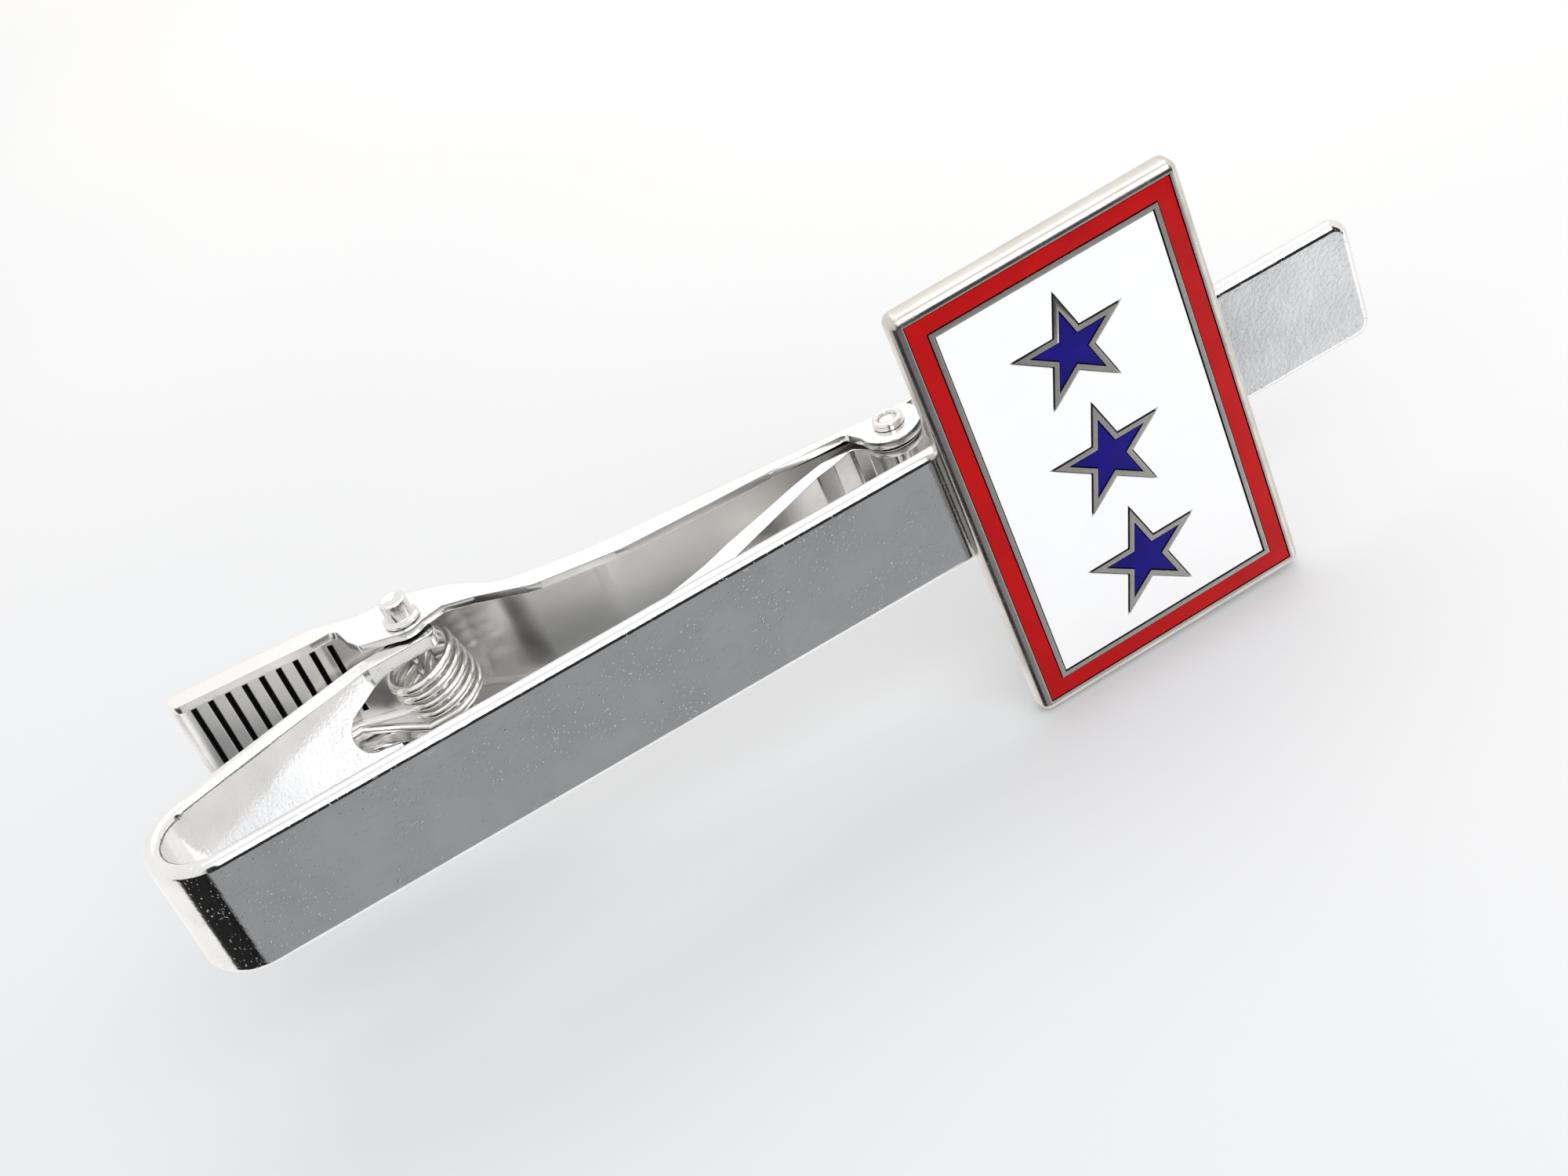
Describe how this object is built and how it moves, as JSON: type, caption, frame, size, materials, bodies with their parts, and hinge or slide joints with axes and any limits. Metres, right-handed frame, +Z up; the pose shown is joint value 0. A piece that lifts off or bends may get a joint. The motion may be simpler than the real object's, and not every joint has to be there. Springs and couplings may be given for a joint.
{
  "type": "tie_clip",
  "caption": "Plated alligator tie clip: a flat folded bar with a sprung lever, a swivelling jaw shoe and a rectangular enamelled badge",
  "frame": {"origin": "centre of the tie-gripping back face of the bar, behind the middle of the badge", "axes": "+X along the bar toward its free end, +Y back from the bar toward the tie and lever, +Z up as worn"},
  "size_m": [0.0611, 0.0157, 0.0233],
  "materials": {
    "plated_bar": "bright plate with fine scratches",
    "plated_lever": "bright plate",
    "plated_pins": "bright plate",
    "spring_wire": "drawn wire",
    "badge_metal": "polished nickel",
    "solder": "dull solder",
    "red_enamel": "hard gloss enamel",
    "white_enamel": "hard gloss enamel",
    "blue_enamel": "hard gloss enamel"
  },
  "bodies": {
    "bar": {"front_bar": "plated_bar", "badge_plate": "badge_metal", "red_enamel_border": "red_enamel", "white_enamel_field": "white_enamel", "blue_enamel_star_upper": "blue_enamel", "blue_enamel_star_middle": "blue_enamel", "blue_enamel_star_lower": "blue_enamel", "badge_solder": "solder", "pivot_pin": "plated_pins", "torsion_spring": "spring_wire"},
    "lever_body": {"lever": "plated_lever", "shoe_pin": "plated_pins"},
    "shoe_body": {"jaw_shoe": "plated_lever"}
  },
  "joints": [
    {"name": "lever_pivot", "type": "hinge", "parent": "bar", "child": "lever_body", "pos_m": [-0.03115, 0.00875, 0], "axis": [0, 0, 1], "range_deg": [0, 28], "stiffness_Nm_per_rad": 0.06, "springref_deg": -57.3, "deforming": ["torsion_spring"]},
    {"name": "shoe_swivel", "type": "hinge", "parent": "lever_body", "child": "shoe_body", "pos_m": [-0.0077, 0.0029, 0], "axis": [0, 0, 1], "range_deg": [-5.6, 0]}
  ],
  "couplings": [
    {"joint": "shoe_swivel", "follows": "lever_pivot", "ratio": -0.2}
  ]
}
